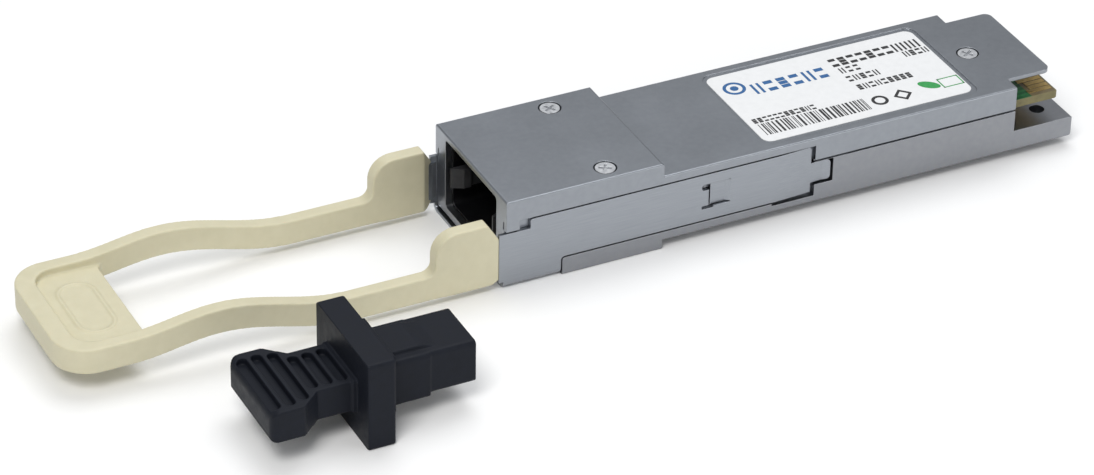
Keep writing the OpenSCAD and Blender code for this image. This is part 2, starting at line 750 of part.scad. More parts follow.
// One spring with both ends ground flat
module return_spring() translate([0, half_w - recess_d - 0.8, channel_z]) intersection() {
    coil(channel_x0, lance_x - 0.03, spring_r - spring_wire_r, spring_wire_r, spring_turns);
    centred(channel_x0, lance_x - 0.03, 1, -1, 1);
}

module return_spring_left() color([0.6, 0.62, 0.64]) return_spring();

module return_spring_right() color([0.6, 0.62, 0.64]) mirror([0, 1, 0]) return_spring();

// ---- port ----

module mpo_receptacle() color([0.1, 0.1, 0.11]) {
    difference() {
        union() {
            along_x(receptacle_recess, port_depth)
                round_rect([-receptacle_w / 2, port_z - receptacle_h / 2],
                           [receptacle_w / 2, port_z + receptacle_h / 2], 0.45);
            centred(rib_x0, rib_x0 + rib_len, receptacle_w / 2 + rib_out,
                    port_z - rib_half_h, port_z + rib_half_h);
        }
        along_x(receptacle_recess - 1, cavity_x1)
            round_rect([-cavity_w / 2, port_z - cavity_h / 2],
                       [cavity_w / 2, port_z + cavity_h / 2], 0.8);
        centred(receptacle_recess - 1, cavity_x1 - 2, key_slot_w / 2, port_z, port_z + cavity_h / 2 + 0.25);
        // window for the ferrule, whose shoulder rests on the rear face
        centred(0, port_depth + 1, ferrule_w / 2 + ferrule_fit,
                port_z - ferrule_t / 2 - ferrule_fit, port_z + ferrule_t / 2 + ferrule_fit);
        // round sockets for the roots of the two catch arms
        both_sides() {
            post(hook_pivot_x, hook_pivot_y, port_z - hook_h / 2 - 0.1, port_z + hook_h / 2 + 0.1,
                 hook_root_r + hook_root_fit);
            block([cavity_x1 - 1, hook_arm_y - 0.25, port_z - hook_h / 2 - 0.1],
                  [hook_pivot_x, hook_arm_y + hook_t + 0.25, port_z + hook_h / 2 + 0.1]);
        }
    }
}

// Plan of one catch arm: straight arm with an inward catch and a sloped lead-in
module hook_plan() polygon([
    [hook_pivot_x, hook_arm_y], [hook_tip_x + 2.2, hook_arm_y], [hook_tip_x + 2.2, hook_gap_half],
    [hook_tip_x + 1.3, hook_gap_half], [hook_tip_x, hook_arm_y + 0.35], [hook_tip_x, hook_arm_y + hook_t],
    [hook_pivot_x, hook_arm_y + hook_t]]);

module mpo_hook() {
    translate([0, 0, port_z - hook_h / 2]) linear_extrude(hook_h) hook_plan();
    post(hook_pivot_x, hook_pivot_y, port_z - hook_h / 2, port_z + hook_h / 2, hook_root_r);
}

module mpo_hook_left() color([0.16, 0.16, 0.17]) mpo_hook();

module mpo_hook_right() color([0.16, 0.16, 0.17]) mirror([0, 1, 0]) mpo_hook();

module mt_ferrule() color([0.2, 0.22, 0.24]) difference() {
    union() {
        centred(ferrule_x0, shoulder_x0 + eps, ferrule_w / 2, port_z - ferrule_t / 2, port_z + ferrule_t / 2);
        centred(shoulder_x0, ferrule_x1, shoulder_w / 2, port_z - shoulder_t / 2, port_z + shoulder_t / 2);
    }
    for (y = [-pin_half_pitch, pin_half_pitch])
        translate([ferrule_x0 - 1, y, port_z]) rotate([0, 90, 0])
            cylinder(h = pin_end_x - ferrule_x0 + 1, r = pin_held_r + pin_fit);
    centred(ribbon_x0, ferrule_x1 + 1, ribbon_w / 2 + 0.05, port_z - ribbon_t / 2 - 0.05,
            port_z + ribbon_t / 2 + 0.05);
}

// Two pins with tapered tips, slightly thinner where the ferrule holds them
module guide_pins() color([0.75, 0.76, 0.78])
    for (y = [-pin_half_pitch, pin_half_pitch])
        translate([ferrule_x0 - pin_out, y, port_z]) rotate([0, 90, 0]) {
            cylinder(h = 0.2, r1 = pin_r * 0.55, r2 = pin_r);
            translate([0, 0, 0.2]) cylinder(h = pin_out - 0.2, r = pin_r);
            translate([0, 0, pin_out - eps]) cylinder(h = pin_end_x - ferrule_x0 + eps, r = pin_held_r);
        }

module ferrule_boot() color([0.12, 0.12, 0.13]) difference() {
    centred(ferrule_x1, ferrule_x1 + boot_len, ribbon_w / 2 + 0.7, port_z - 0.9, port_z + 0.9);
    centred(ferrule_x1 - 1, ferrule_x1 + boot_len + 1, ribbon_w / 2 + 0.03,
            port_z - ribbon_t / 2 - 0.03, port_z + ribbon_t / 2 + 0.03);
}

// Plate behind the receptacle with a window for the ferrule's shoulder
module ferrule_clamp() color([0.66, 0.68, 0.7]) difference() {
    centred(port_depth, port_depth + clamp_t, boss_y - 0.05, interior_z0, port_z + receptacle_h / 2 - 0.4);
    centred(port_depth - 1, port_depth + clamp_t + 1, shoulder_w / 2 + ferrule_fit,
            port_z - shoulder_t / 2 - ferrule_fit, port_z + shoulder_t / 2 + ferrule_fit);
}

ribbon_steps = 14;
ribbon_x0 = ferrule_x1 - 2;
ribbon_bend_x0 = ferrule_x1 + boot_len;
ribbon_x1 = lens_x0 + 1.2;
function ribbon_x(i) = ribbon_bend_x0 + (lens_x0 - ribbon_bend_x0) * i / ribbon_steps;
function ribbon_z(i) = port_z + (ribbon_end_z - port_z) * (1 - cos(180 * i / ribbon_steps)) / 2;

// Ribbon that leaves the ferrule level and climbs to the lens block
module fibre_ribbon() color([0.2, 0.6, 0.65]) across_y(ribbon_w / 2) polygon(concat(
    [[ribbon_x0, port_z + ribbon_t / 2]],
    [for (i = [0:ribbon_steps]) [ribbon_x(i), ribbon_z(i) + ribbon_t / 2]],
    [[ribbon_x1, ribbon_end_z + ribbon_t / 2], [ribbon_x1, ribbon_end_z - ribbon_t / 2]],
    [for (i = [ribbon_steps:-1:0]) [ribbon_x(i), ribbon_z(i) - ribbon_t / 2]],
    [[ribbon_x0, port_z - ribbon_t / 2]]));

// ---- board and its parts ----

module circuit_board() color([0.05, 0.35, 0.2]) difference() {
    translate([0, 0, board_z]) linear_extrude(board_t) {
        round_rect([board_x0, -board_front_half_w], [board_step_x + 3, board_front_half_w], 0.4);
        round_rect([board_step_x, -board_half_w], [board_x1, board_half_w], 0.5);
    }
    post(rear_screw_x, 0, board_z - 1, board_top_z + 1, shank_r + 0.25);
    // bevels along the card edge, above and below
    for (z = [board_z, board_top_z]) translate([board_x1, 0, z]) rotate([0, 45, 0])
        cube([0.35, case_w, 0.35], center = true);
}

// One row of contacts; every third pair is long
module contacts(z0) for (i = [0:contact_count - 1]) let(
    y = (i - (contact_count - 1) / 2) * contact_pitch,
    long = i % 3 == 0 ? contact_long : contact_short)
    block([contact_end_x - long, y - contact_w / 2, z0], [contact_end_x, y + contact_w / 2, z0 + contact_t]);

module contact_pads_top() color([0.8, 0.65, 0.3]) contacts(board_top_z);

module contact_pads_bottom() color([0.8, 0.65, 0.3]) contacts(board_z - contact_t);

module lens_block() color([0.75, 0.5, 0.2]) difference() {
    centred(lens_x0, lens_x0 + lens_len, lens_w / 2, board_top_z, board_top_z + lens_h);
    // room over the two dies, slot for the ribbon, and the sloped mirror
    centred(lens_x0 + 1.5, lens_x0 + 4.2, 2.6, board_top_z - 1, board_top_z + 0.45);
    centred(lens_x0 - 1, ribbon_x1, ribbon_w / 2 + 0.03, ribbon_end_z - ribbon_t / 2 - 0.03,
            board_top_z + lens_h + 1);
    across_y(2.4) polygon([[lens_x0 + 2.6, board_top_z + lens_h + 1], [lens_x0 + 2.6, board_top_z + lens_h],
                           [lens_x0 + 3.2, board_top_z + lens_h - 0.6], [lens_x0 + 3.8, board_top_z + lens_h],
                           [lens_x0 + 3.8, board_top_z + lens_h + 1]]);
}

// A small die or chip on the board's top, given by its centre and size
module die(x, y, size_x, size_y, h)
    block([x - size_x / 2, y - size_y / 2, board_top_z], [x + size_x / 2, y + size_y / 2, board_top_z + h]);

module laser_array() color([0.35, 0.35, 0.4]) die(lens_x0 + 2.8, 1.2, 0.35, 1.1, die_h);

module photodiode_array() color([0.25, 0.25, 0.3]) die(lens_x0 + 2.8, -1.2, 0.35, 1.1, die_h);

module laser_driver_chip() color([0.14, 0.14, 0.16])
    die(chip_x + chip_w / 2, chip_w / 2 + 0.4, chip_w, chip_w, chip_h);

module receiver_chip() color([0.14, 0.14, 0.16])
    die(chip_x + chip_w / 2, -chip_w / 2 - 0.4, chip_w, chip_w, chip_h);

module controller_chip() color([0.12, 0.12, 0.13]) die(board_step_x - 2.6, 0, 4, 4, 0.85);

module memory_chip() color([0.12, 0.12, 0.13]) die(board_step_x + 3.2, -4.2, 3, 2, 0.75);

module power_inductors() color([0.25, 0.22, 0.2]) for (y = [3, 5.6])
    die(board_step_x + 3.2, y, 2, 1.6, 1);

// Small capacitors in two rows on top and one row below
module chip_capacitors() color([0.6, 0.5, 0.38]) {
    for (x = [chip_x + chip_w + 0.9, board_step_x + 0.6]) for (i = [0:5])
        die(x, (i - 2.5) * 1.5, 0.5, 1, 0.5);
    for (i = [0:5]) translate([board_step_x - 1.5 * i - 2, 0, board_z - 0.5]) cube([1, 0.5, 0.5]);
}

module thermal_pad() color([0.75, 0.55, 0.6])
    centred(chip_x - 0.2, chip_x + chip_w + 0.2, chip_w + 0.6, board_top_z + chip_h, interior_z1);

// ---- dust plug ----

// Plan of the grip, from its end: wide head, waist, narrow neck that runs into the flange
module grip_plan() translate([-plug_grip_len, 0]) {
    round_rect([0, -plug_head_w / 2], [grip_head_len + 0.6, plug_head_w / 2], 0.9);
    polygon([[1, -plug_head_w / 2], [grip_head_len, -plug_head_w / 2], [grip_waist_x, -plug_neck_w / 2],
             [grip_waist_x, plug_neck_w / 2], [grip_head_len, plug_head_w / 2], [1, plug_head_w / 2]]);
    translate([grip_head_len, -plug_neck_w / 2])
        square([plug_grip_len - grip_head_len + eps, plug_neck_w]);
}

// Side outline of the grip, round at its end
module grip_side() polygon(concat(
    arc(-plug_grip_len + grip_low_r, -plug_grip_t / 2 + grip_low_r, grip_low_r, 270, 180, 5),
    arc(-plug_grip_len + grip_top_r, plug_grip_t / 2 - grip_top_r, grip_top_r, 180, 90, 8),
    [[1, plug_grip_t / 2], [1, -plug_grip_t / 2]]));

// Half length of grip slot number i, which follows the grip's outline
function slot_half(i) = i < 2 ? plug_head_w / 2 - 0.9 :
    i == 2 ? plug_head_w / 2 - 1.3 : plug_neck_w / 2 - 0.7;

module grip_slots(z0) translate([0, 0, z0]) linear_extrude(plug_slot_d + 0.1)
    for (i = [0:5]) let(x = -plug_grip_len + plug_slot_x0 + i * plug_slot_pitch)
        round_rect([x - plug_slot_r - eps, -slot_half(i)], [x + plug_slot_r + eps, slot_half(i)], plug_slot_r);

// A stretch of the insert, wider and deeper than the plain one by the given amounts
module insert_part(x1, out_side, out_low, out_top, r) along_x(-eps, x1)
    round_rect([-plug_insert_w / 2 - out_side, -plug_insert_h / 2 - out_low],
               [plug_insert_w / 2 + out_side, plug_insert_h / 2 + out_top], r);

module dust_plug() color([0.12, 0.13, 0.15]) translate([plug_x, plug_y, plug_z]) {
    translate([-plug_flange_t, 0, 0]) {
        difference() {
            intersection() {
                translate([0, 0, -plug_grip_t / 2]) linear_extrude(plug_grip_t) grip_plan();
                across_y(plug_head_w) grip_side();
            }
            grip_slots(plug_grip_t / 2 - plug_slot_d);
            grip_slots(-plug_grip_t / 2 - 0.1);
            // parting line across the end
            centred(-plug_grip_len - 1, -plug_grip_len + 0.12, plug_head_w,
                    -plug_grip_t / 2 + parting_z, -plug_grip_t / 2 + parting_z + parting_w);
        }
        // collar round the neck, close to the flange
        centred(-collar_x0, -collar_x1, plug_neck_w / 2 + collar_out,
                -plug_grip_t / 2 - collar_out, plug_grip_t / 2 + collar_out);
    }
    along_x(-plug_flange_t, 0) round_rect([-plug_flange_w / 2, -plug_flange_h / 2],
                                          [plug_flange_w / 2, plug_flange_h / 2], plug_r);
    difference() {
        union() {
            insert_part(plug_insert_len, 0, -0.4, -0.2, 0.5);
            insert_part(insert_step_x, insert_proud, 0, -0.2, 0.5);
            insert_part(1.2, 0.6, 0.6, 0.9, 0.5);
        }
        // pocket that clears the ferrule and its pins
        along_x(plug_insert_len - 4, plug_insert_len + 1) round_rect([-3.3, -1.4], [3.3, 1.4], 0.3);
    }
    // key that runs out into the top face
    across_y(key_half) polygon([[-eps, 1], [-eps, plug_insert_h / 2 + key_out],
                                [key_flat_len, plug_insert_h / 2 + key_out],
                                [key_len, plug_insert_h / 2 - 0.2], [key_len, 1.4]]);
}

top_cover();
bottom_housing();
cover_screws();
label();
seam_gasket();
latch_slider();
pull_tab();
return_spring_left();
return_spring_right();
mpo_receptacle();
mpo_hook_left();
mpo_hook_right();
mt_ferrule();
guide_pins();
ferrule_boot();
ferrule_clamp();
fibre_ribbon();
lens_block();
laser_array();
photodiode_array();
laser_driver_chip();
receiver_chip();
controller_chip();
memory_chip();
power_inductors();
chip_capacitors();
circuit_board();
contact_pads_top();
contact_pads_bottom();
thermal_pad();
dust_plug();
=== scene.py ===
# Looks for the pluggable optical transceiver module and its rubber dust plug.
# Everything is in metres, in the same frame as the solids: +X from the port to the card edge, +Z up.
import json
import math

import bmesh
import bpy
import numpy as np
from mathutils import Matrix, Vector

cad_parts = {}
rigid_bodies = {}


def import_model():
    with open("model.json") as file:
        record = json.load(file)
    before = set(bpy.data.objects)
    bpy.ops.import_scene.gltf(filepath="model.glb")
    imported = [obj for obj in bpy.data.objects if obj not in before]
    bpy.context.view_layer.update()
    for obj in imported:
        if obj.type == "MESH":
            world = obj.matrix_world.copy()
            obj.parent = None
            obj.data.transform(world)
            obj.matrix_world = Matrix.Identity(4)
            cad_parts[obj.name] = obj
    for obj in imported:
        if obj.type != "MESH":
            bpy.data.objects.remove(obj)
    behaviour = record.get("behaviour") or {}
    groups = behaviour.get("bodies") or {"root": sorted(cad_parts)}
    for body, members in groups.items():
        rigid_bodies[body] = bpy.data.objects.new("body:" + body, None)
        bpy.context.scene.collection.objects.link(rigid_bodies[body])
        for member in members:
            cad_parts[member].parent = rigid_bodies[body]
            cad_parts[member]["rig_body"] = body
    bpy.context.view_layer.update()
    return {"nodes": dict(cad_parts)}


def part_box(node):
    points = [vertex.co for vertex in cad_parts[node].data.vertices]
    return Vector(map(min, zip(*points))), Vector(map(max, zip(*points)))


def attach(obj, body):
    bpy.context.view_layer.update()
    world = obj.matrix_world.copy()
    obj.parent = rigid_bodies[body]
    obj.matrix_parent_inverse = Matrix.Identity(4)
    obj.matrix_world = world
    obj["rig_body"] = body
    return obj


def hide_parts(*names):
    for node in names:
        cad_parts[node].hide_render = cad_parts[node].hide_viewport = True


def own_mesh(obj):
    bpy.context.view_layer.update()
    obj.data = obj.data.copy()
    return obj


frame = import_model()
nodes = frame["nodes"]
scene = bpy.context.scene
mm = 0.001

# camera: a long lens from the near left, above
camera = {
    "target": (4.592, -9.923, 6.0),  # mm
    "azimuth": -26.618,  # degrees, 0 looks along +Y
    "elevation": 33.056,
    "roll": 1.017,
    "distance": 481.405,  # mm
    "lens": 144.53,
    "sensor": 36,
    "clip": (0.01, 20),  # metres
}


def makeCamera(c):
    az, el, roll = (math.radians(c[k]) for k in ("azimuth", "elevation", "roll"))
    back = Vector((math.sin(az) * math.cos(el), -math.cos(az) * math.cos(el), math.sin(el)))
    right = Vector((0, 0, 1)).cross(back).normalized()
    up = back.cross(right)
    turnedRight = right * math.cos(roll) + up * math.sin(roll)
    turnedUp = up * math.cos(roll) - right * math.sin(roll)
    data = bpy.data.cameras.new("viewCamera")
    data.lens = c["lens"]
    data.sensor_width = c["sensor"]
    data.sensor_fit = "HORIZONTAL"
    data.clip_start, data.clip_end = c["clip"]
    obj = bpy.data.objects.new("viewCamera", data)
    scene.collection.objects.link(obj)
    place = (Vector(c["target"]) + back * c["distance"]) * mm
    turn = Matrix((turnedRight, turnedUp, back)).transposed().to_4x4()
    obj.matrix_world = Matrix.Translation(place) @ turn
    scene.camera = obj


makeCamera(camera)
print("camera made")

# floor and light
studio = {
    "floorSize": 1.2,
    "floorColour": (0.93, 0.93, 0.93),
    "floorRoughness": 0.9,
    "floorShine": 0.1,
    "skyColour": (0.95, 0.97, 1.0),
    "skyStrength": 0.40,
    "aim": (0.01, 0, 0.005),
}

# square panels: place and size in metres, power in watts
lights = [
    {"name": "keyPanel", "place": (-0.22, -0.24, 0.46), "size": 0.22, "power": 1.5,
     "colour": (1.0, 0.99, 0.97)},
    {"name": "topPanel", "place": (0.12, 0.16, 0.48), "size": 0.36, "power": 1.2,
     "colour": (0.98, 0.99, 1.0)},
    {"name": "frontPanel", "place": (0.30, -0.42, 0.16), "size": 0.24, "power": 0.45,
     "colour": (1.0, 1.0, 1.0)},
]


def makeStudio():
    half = studio["floorSize"] / 2
    mesh = bpy.data.meshes.new("floor")
    corners = [(-half, -half, 0), (half, -half, 0), (half, half, 0), (-half, half, 0)]
    mesh.from_pydata(corners, [], [(0, 1, 2, 3)])
    floor = bpy.data.objects.new("floor", mesh)
    scene.collection.objects.link(floor)
    paint = bpy.data.materials.new("floorPaint")
    paint.use_nodes = True
    shader = paint.node_tree.nodes["Principled BSDF"]
    shader.inputs["Base Color"].default_value = (*studio["floorColour"], 1)
    shader.inputs["Roughness"].default_value = studio["floorRoughness"]
    shader.inputs["Specular IOR Level"].default_value = studio["floorShine"]
    mesh.materials.append(paint)
    for lamp in lights:
        data = bpy.data.lights.new(lamp["name"], "AREA")
        data.shape = "SQUARE"
        data.size = lamp["size"]
        data.energy = lamp["power"]
        data.color = lamp["colour"]
        obj = bpy.data.objects.new(lamp["name"], data)
        scene.collection.objects.link(obj)
        towards = Vector(studio["aim"]) - Vector(lamp["place"])
        obj.rotation_euler = towards.to_track_quat("-Z", "Y").to_euler()
        obj.location = lamp["place"]
    world = bpy.data.worlds.new("studioSky")
    scene.world = world
    world.use_nodes = True
    sky = world.node_tree.nodes["Background"]
    sky.inputs["Color"].default_value = (*studio["skyColour"], 1)
    sky.inputs["Strength"].default_value = studio["skyStrength"]
    scene.view_settings.view_transform = "Standard"


makeStudio()
print("studio made")


# shader helpers
def linear(red, green, blue):  # an sRGB colour of 0 to 255 as linear light, by the sRGB curve
    c = np.array([red, green, blue]) / 255.0
    flat = np.where(c <= 0.04045, c / 12.92, ((c + 0.055) / 1.055) ** 2.4)
    return (*flat.tolist(), 1.0)


def put(tree, kind, inputs=None, **props):
    n = tree.nodes.new(kind)
    for key, value in props.items():
        setattr(n, key, value)
    for key, value in (inputs or {}).items():
        if isinstance(value, bpy.types.NodeSocket):
            tree.links.new(value, n.inputs[key])
        else:
            n.inputs[key].default_value = value
    return n


def math2(tree, operation, first, second):
    return put(tree, "ShaderNodeMath", {0: first, 1: second}, operation=operation).outputs[0]


# a value that runs from low to high comes out as start to end, clamped
def band(tree, value, low, high, start=0.0, end=1.0):
    ends = {"Value": value, "From Min": low, "From Max": high, "To Min": start, "To Max": end}
    return put(tree, "ShaderNodeMapRange", ends).outputs["Result"]


def noise(tree, where, scale, detail=3.0, rough=0.6):
    ins = {"Vector": where, "Scale": scale, "Detail": detail, "Roughness": rough}
    return put(tree, "ShaderNodeTexNoise", ins).outputs["Fac"]


def mixColour(tree, factor, low, high):
    m = put(tree, "ShaderNodeMix", data_type="RGBA")
    for index, value in ((0, factor), (6, low), (7, high)):
        if isinstance(value, bpy.types.NodeSocket):
            tree.links.new(value, m.inputs[index])
        else:
            m.inputs[index].default_value = value
    return m.outputs[2]


def newGroup(name, numbers, outputs):  # every group takes a vector and then plain numbers
    tree = bpy.data.node_groups.new(name, "ShaderNodeTree")
    tree.interface.new_socket(name="Vector", in_out="INPUT", socket_type="NodeSocketVector")
    for socket, value in numbers.items():
        entry = tree.interface.new_socket(name=socket, in_out="INPUT", socket_type="NodeSocketFloat")
        entry.default_value = value
    for socket, kind in outputs.items():
        tree.interface.new_socket(name=socket, in_out="OUTPUT", socket_type=kind)
    return tree, tree.nodes.new("NodeGroupInput").outputs, tree.nodes.new("NodeGroupOutput").inputs


def makeGrain():  # two sizes of noise added together: a fine moulded or cast skin
    outputs = {"Height": "NodeSocketFloat", "Mask": "NodeSocketFloat"}
    tree, i, o = newGroup("surfaceGrain", {"Grain Size": 0.0002, "Contrast": 1.0}, outputs)
    scale = math2(tree, "DIVIDE", 1.0, i["Grain Size"])
    fine = noise(tree, i["Vector"], scale)
    broad = noise(tree, i["Vector"], math2(tree, "MULTIPLY", scale, 0.12), 4.0, 0.55)
    centred = math2(tree, "SUBTRACT", math2(tree, "ADD", fine, broad), 1.0)
    tree.links.new(math2(tree, "MULTIPLY", centred, i["Contrast"]), o["Height"])
    tree.links.new(band(tree, broad, 0.3, 0.7), o["Mask"])
    return tree


def makeBrushed():  # noise stretched along X: drawn or brushed sheet
    outputs = {"Height": "NodeSocketFloat", "Mask": "NodeSocketFloat"}
    tree, i, o = newGroup("brushedLines", {"Line Width": 0.00008, "Stretch": 40.0}, outputs)
    across = math2(tree, "DIVIDE", 1.0, i["Line Width"])
    along = math2(tree, "DIVIDE", across, i["Stretch"])
    scale = put(tree, "ShaderNodeCombineXYZ", {"X": along, "Y": across, "Z": across}).outputs[0]
    spot = put(tree, "ShaderNodeVectorMath", {0: i["Vector"], 1: scale}, operation="MULTIPLY").outputs[0]
    lines = noise(tree, spot, 1.0, 4.0, 0.65)
    tree.links.new(lines, o["Height"])
    tree.links.new(band(tree, lines, 0.38, 0.62), o["Mask"])
    return tree


def makeEdgeWear():  # an edge is where a rounded copy of the normal leaves the flat one; noise breaks it up
    outputs = {"Mask": "NodeSocketFloat", "Normal": "NodeSocketVector"}
    tree, i, o = newGroup("edgeWear", {"Radius": 0.0001, "Amount": 1.0}, outputs)
    rounded = put(tree, "ShaderNodeBevel", {"Radius": i["Radius"]}, samples=6).outputs[0]
    flat = put(tree, "ShaderNodeNewGeometry").outputs["Normal"]
    product = put(tree, "ShaderNodeVectorMath", {0: rounded, 1: flat}, operation="DOT_PRODUCT")
    same = product.outputs["Value"]
    broken = band(tree, noise(tree, i["Vector"], 900.0), 0.3, 0.6, 0.35, 1.0)
    mask = math2(tree, "MULTIPLY", band(tree, same, 0.995, 0.8), broken)
    tree.links.new(math2(tree, "MULTIPLY", mask, i["Amount"]), o["Mask"])
    tree.links.new(rounded, o["Normal"])
    return tree


grainGroup = makeGrain()
brushedGroup = makeBrushed()
wearGroup = makeEdgeWear()


def placeGroup(tree, group, **inputs):
    return put(tree, "ShaderNodeGroup", inputs, node_tree=group)


def startMaterial(name):
    material = bpy.data.materials.new(name)
    material.use_nodes = True
    tree = material.node_tree
    return material, tree, tree.nodes["Principled BSDF"], put(tree, "ShaderNodeTexCoord").outputs["Object"]


def addBump(tree, shader, strength, depth, height, normal=None):
    ins = {"Strength": strength, "Distance": depth, "Height": height}
    if normal is not None:
        ins["Normal"] = normal
    tree.links.new(put(tree, "ShaderNodeBump", ins).outputs["Normal"], shader.inputs["Normal"])


# values that all finishes share: sizes and depths in mm, noise scales per metre
finish = {"metalWear": 0.2, "sheetWear": 0.3, "plasticWear": 0.35, "wornBrighter": 34, "plasticEdge": 0.08,
          "metalSmudge": 140.0, "sheetSmudge": 180.0, "smudgeDetail": 5.0, "metalDepth": 0.04,
          "sheetBump": 0.12, "sheetDepth": 0.02, "glowReach": (0.6, 0.45, 0.3)}

# metals: dark and light colour (sRGB), roughness low and high, grain and edge radius in mm, bump;
# the screws' zinc scatters light, so their metallic share is lower
metals = {
    "caseMetal": {"low": (144, 146, 151), "high": (149, 151, 155), "rough": (0.26, 0.38), "grain": 0.09,
                  "bump": 0.10, "edge": 0.10},
    # the top cover is the same die-cast metal as the housing; its lighter tone is painted light for the top
    # face
    "coverMetalPaintedLight": {"low": (148, 152, 158), "high": (153, 157, 163), "rough": (0.28, 0.40), "grain": 0.09,
                   "bump": 0.10, "edge": 0.12},
    "screwMetal": {"low": (186, 188, 192), "high": (226, 228, 231), "rough": (0.22, 0.34), "grain": 0.06,
                   "bump": 0.05, "edge": 0.05, "metallic": 0.6},
    "springMetal": {"low": (170, 172, 176), "high": (205, 207, 210), "rough": (0.20, 0.32), "grain": 0.05,
                    "bump": 0.05, "edge": 0.02},
    "goldPlate": {"low": (178, 150, 92), "high": (202, 174, 116), "rough": (0.22, 0.36), "grain": 0.06,
                  "bump": 0.06, "edge": 0.02},
}


def makeMetal(name, f):
    material, tree, shader, where = startMaterial(name)
    grain = placeGroup(tree, grainGroup, Vector=where, **{"Grain Size": f["grain"] * mm})
    wear = placeGroup(tree, wearGroup, Vector=where, Radius=f["edge"] * mm, Amount=finish["metalWear"])
    body = mixColour(tree, grain.outputs["Mask"], linear(*f["low"]), linear(*f["high"]))
    bright = linear(*[min(255, c + finish["wornBrighter"]) for c in f["high"]])
    tree.links.new(mixColour(tree, wear.outputs["Mask"], body, bright), shader.inputs["Base Color"])
    smudge = noise(tree, where, finish["metalSmudge"], finish["smudgeDetail"])
    tree.links.new(band(tree, smudge, 0.0, 1.0, *f["rough"]), shader.inputs["Roughness"])
    depth = finish["metalDepth"] * mm
    addBump(tree, shader, f["bump"], depth, grain.outputs["Height"], wear.outputs["Normal"])
    shader.inputs["Metallic"].default_value = f.get("metallic", 1.0)
    return material


sheet = {"low": (151, 155, 161), "high": (158, 162, 168), "worn": (176, 179, 183), "rough": (0.24, 0.38),
         "line": 0.07, "stretch": 60.0, "edge": 0.08}


def makeSheetMetal(name, f):
    material, tree, shader, where = startMaterial(name)
    width = {"Line Width": f["line"] * mm, "Stretch": f["stretch"]}
    lines = placeGroup(tree, brushedGroup, Vector=where, **width)
    wear = placeGroup(tree, wearGroup, Vector=where, Radius=f["edge"] * mm, Amount=finish["sheetWear"])
    body = mixColour(tree, lines.outputs["Mask"], linear(*f["low"]), linear(*f["high"]))
    worn = mixColour(tree, wear.outputs["Mask"], body, linear(*f["worn"]))
    tree.links.new(worn, shader.inputs["Base Color"])
    smudge = noise(tree, where, finish["sheetSmudge"], finish["smudgeDetail"])
    tree.links.new(band(tree, smudge, 0.0, 1.0, *f["rough"]), shader.inputs["Roughness"])
    depth = finish["sheetDepth"] * mm
    addBump(tree, shader, finish["sheetBump"], depth, lines.outputs["Height"], wear.outputs["Normal"])
    shader.inputs["Metallic"].default_value = 1.0
    return material


# one plastic: dark, light and edge colour (sRGB), roughness low and high, grain size and bump depth in mm
def plastic(low, high, edge, rough, grain=0.1, bump=0.2, depth=0.03, coat=0.0, glow=0.0, shine=0.5):
    return {"low": low, "high": high, "edge": edge, "rough": rough, "grain": grain, "bump": bump,
            "depth": depth, "coat": coat, "glow": glow, "shine": shine}


# plastics, rubbers, glass and inks
plastics = {
    "tabPlastic": plastic((203, 197, 168), (208, 202, 174), (218, 213, 189),
                          (0.46, 0.58), 0.16, 0.25, glow=0.1),
    "plugRubber": plastic((24, 27, 34), (28, 31, 39), (46, 50, 58),
                          (0.42, 0.54), 0.12, 0.25, 0.04, shine=0.12),
    "portPlastic": plastic((10, 10, 12), (14, 14, 16), (24, 24, 27), (0.40, 0.52), shine=0.15),
    "hookPlastic": plastic((46, 46, 48), (54, 54, 56), (84, 84, 86), (0.38, 0.50), shine=0.25),
    "ferrulePlastic": plastic((58, 60, 62), (72, 74, 76), (100, 102, 104), (0.28, 0.40), 0.05, 0.1, 0.02),
    "bootRubber": plastic((30, 30, 32), (38, 38, 41), (60, 60, 64), (0.55, 0.70), bump=0.25),
    "gasketRubber": plastic((84, 84, 88), (104, 104, 108), (124, 124, 128), (0.60, 0.75), 0.08, 0.3),
    "padRubber": plastic((196, 150, 160), (212, 170, 178), (224, 186, 192),
                         (0.55, 0.70), 0.12, 0.25, glow=0.1),
    "chipEpoxy": plastic((30, 30, 33), (42, 42, 46), (70, 70, 74), (0.45, 0.60), 0.07),
    "dieSilicon": plastic((84, 86, 100), (104, 106, 124), (140, 142, 156),
                          (0.12, 0.22), 0.04, 0.05, 0.01, 0.3),
    "ferriteBody": plastic((58, 52, 48), (74, 68, 62), (96, 90, 84), (0.50, 0.65), 0.09, 0.3),
    "ceramicBody": plastic((168, 142, 108), (188, 164, 130), (206, 186, 158),
                           (0.40, 0.55), 0.06, 0.15, 0.02),
    "lensAmber": plastic((176, 118, 44), (196, 140, 62), (224, 178, 108),
                         (0.08, 0.16), 0.1, 0.04, 0.01, 0.5, 0.2),
    "ribbonCoat": plastic((60, 150, 160), (84, 176, 184), (130, 204, 210),
                          (0.25, 0.38), 0.1, 0.08, 0.02, 0.3, 0.1),
    "fibreGlass": plastic((196, 204, 208), (216, 222, 226), (235, 238, 240),
                          (0.06, 0.12), 0.02, 0.02, 0.005, 0.3),
    "labelFilm": plastic((228, 229, 230), (232, 233, 234), (236, 237, 238),
                         (0.36, 0.48), 0.09, 0.06, 0.01, 0.1),
    "inkBlack": plastic((24, 24, 26), (34, 34, 37), (40, 40, 44), (0.36, 0.50), 0.06, 0.05, 0.01, 0.1),
    "inkBlue": plastic((26, 84, 140), (36, 98, 156), (60, 116, 170), (0.36, 0.50), 0.06, 0.05, 0.01, 0.1),
    "inkGreen": plastic((34, 140, 66), (48, 160, 80), (80, 180, 100), (0.36, 0.50), 0.06, 0.05, 0.01, 0.1),
}


